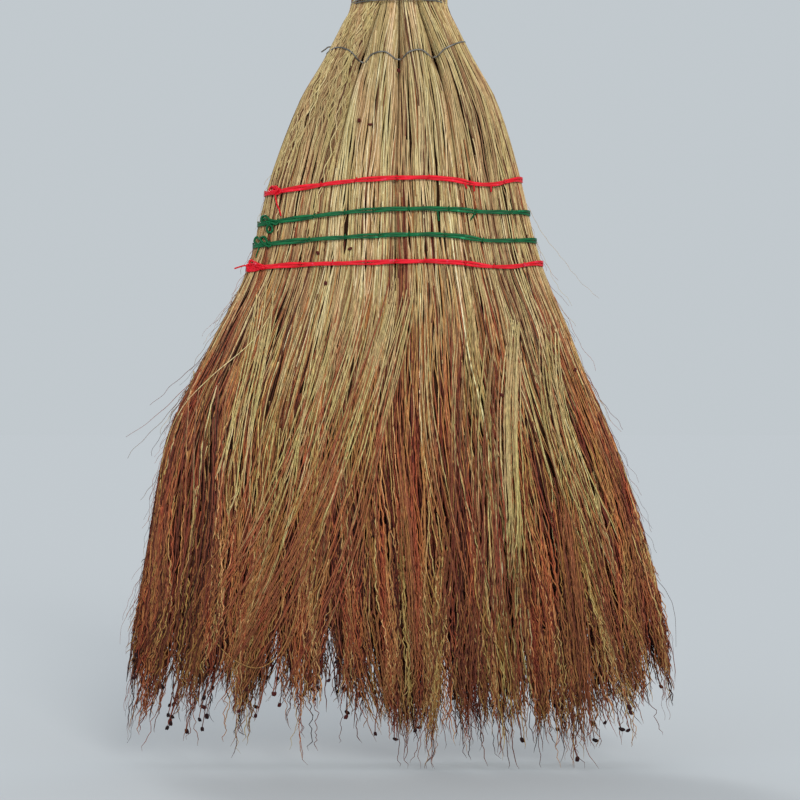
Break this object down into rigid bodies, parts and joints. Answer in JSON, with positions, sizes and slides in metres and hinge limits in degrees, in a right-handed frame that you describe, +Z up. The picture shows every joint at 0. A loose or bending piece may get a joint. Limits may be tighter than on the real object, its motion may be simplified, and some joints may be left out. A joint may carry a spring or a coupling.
{
  "type": "sewn sorghum broom",
  "caption": "Flat sorghum broom: stalk bundles bound with wire into a straight grip, sewn flat with twine rows, fanning into a wide ragged brush.",
  "frame": {"origin": "on the floor under the middle of the broom, at the lowest bristle tips", "axes": "+Z up along the grip, X across the flat head, front of the head towards -Y"},
  "size_m": [0.374, 0.0582, 0.8402],
  "materials": {
    "core_stalks": "dry cut stalk ends",
    "stalks": "dry straw, satin rind",
    "bristles": "dry matt panicle fibre",
    "binding_wire": "dull drawn wire",
    "red_twine": "glossy split-film twine",
    "green_twine": "glossy split-film twine"
  },
  "bodies": {
    "root": {"core_stalks": "core_stalks", "hurl_bundle_outer_left": "stalks", "hurl_bundle_inner_left": "stalks", "hurl_bundle_inner_right": "stalks", "hurl_bundle_outer_right": "stalks", "bristle_fan_outer_left": "bristles", "bristle_fan_inner_left": "bristles", "bristle_fan_inner_right": "bristles", "bristle_fan_outer_right": "bristles", "neck_wire": "binding_wire", "grip_wire_lower": "binding_wire", "grip_wire_middle": "binding_wire", "grip_wire_upper": "binding_wire", "shoulder_wire": "binding_wire", "twine_red_lower": "red_twine", "knot_red_lower": "red_twine", "lacing_red_lower": "red_twine", "twine_green_lower": "green_twine", "knot_green_lower": "green_twine", "lacing_green_lower": "green_twine", "twine_green_upper": "green_twine", "knot_green_upper": "green_twine", "lacing_green_upper": "green_twine", "twine_red_upper": "red_twine", "knot_red_upper": "red_twine", "lacing_red_upper": "red_twine"}
  },
  "joints": []
}
